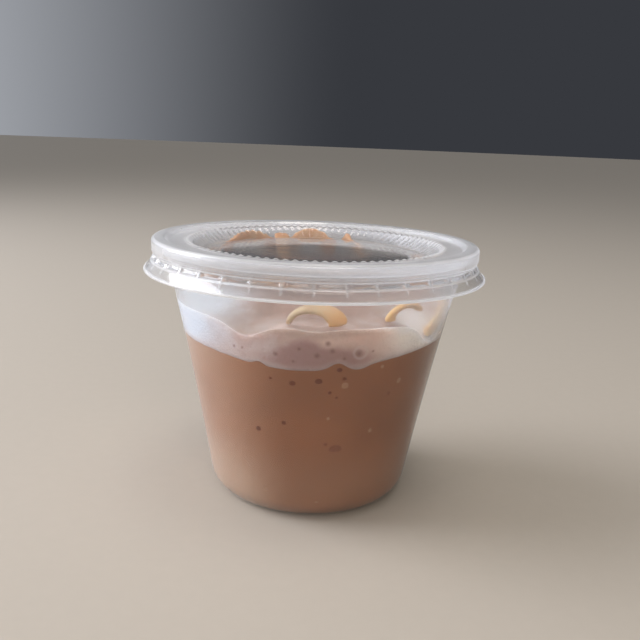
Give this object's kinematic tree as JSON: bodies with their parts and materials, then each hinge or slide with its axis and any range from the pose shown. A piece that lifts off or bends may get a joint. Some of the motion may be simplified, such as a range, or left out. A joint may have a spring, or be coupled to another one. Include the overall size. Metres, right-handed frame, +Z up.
{
  "type": "chocolate pudding cup",
  "caption": "Chocolate pudding under a pale cream layer and yellow shreds, in a tapered translucent cup with a clear lid pressed over its rim.",
  "frame": {"origin": "centre of the cup's foot, on the surface that it stands on", "axes": "+Z up along the cup's axis; -Y towards the side that the picture shows; +X to its right"},
  "size_m": [0.0786, 0.0785, 0.0601],
  "materials": {
    "milky_plastic": "thin translucent milky plastic, satin",
    "clear_plastic": "thin clear plastic, glossy",
    "chocolate_pudding": "smooth milk chocolate pudding",
    "pale_cream": "soft pale cream",
    "yellow_shred": "soft waxy yellow shreds"
  },
  "bodies": {
    "root": {"cup": "milky_plastic", "lid": "clear_plastic", "pudding": "chocolate_pudding", "cream": "pale_cream", "shred_1": "yellow_shred", "shred_2": "yellow_shred", "shred_3": "yellow_shred", "shred_4": "yellow_shred", "shred_5": "yellow_shred", "shred_6": "yellow_shred", "shred_7": "yellow_shred", "shred_8": "yellow_shred", "shred_9": "yellow_shred", "shred_10": "yellow_shred"}
  },
  "joints": []
}
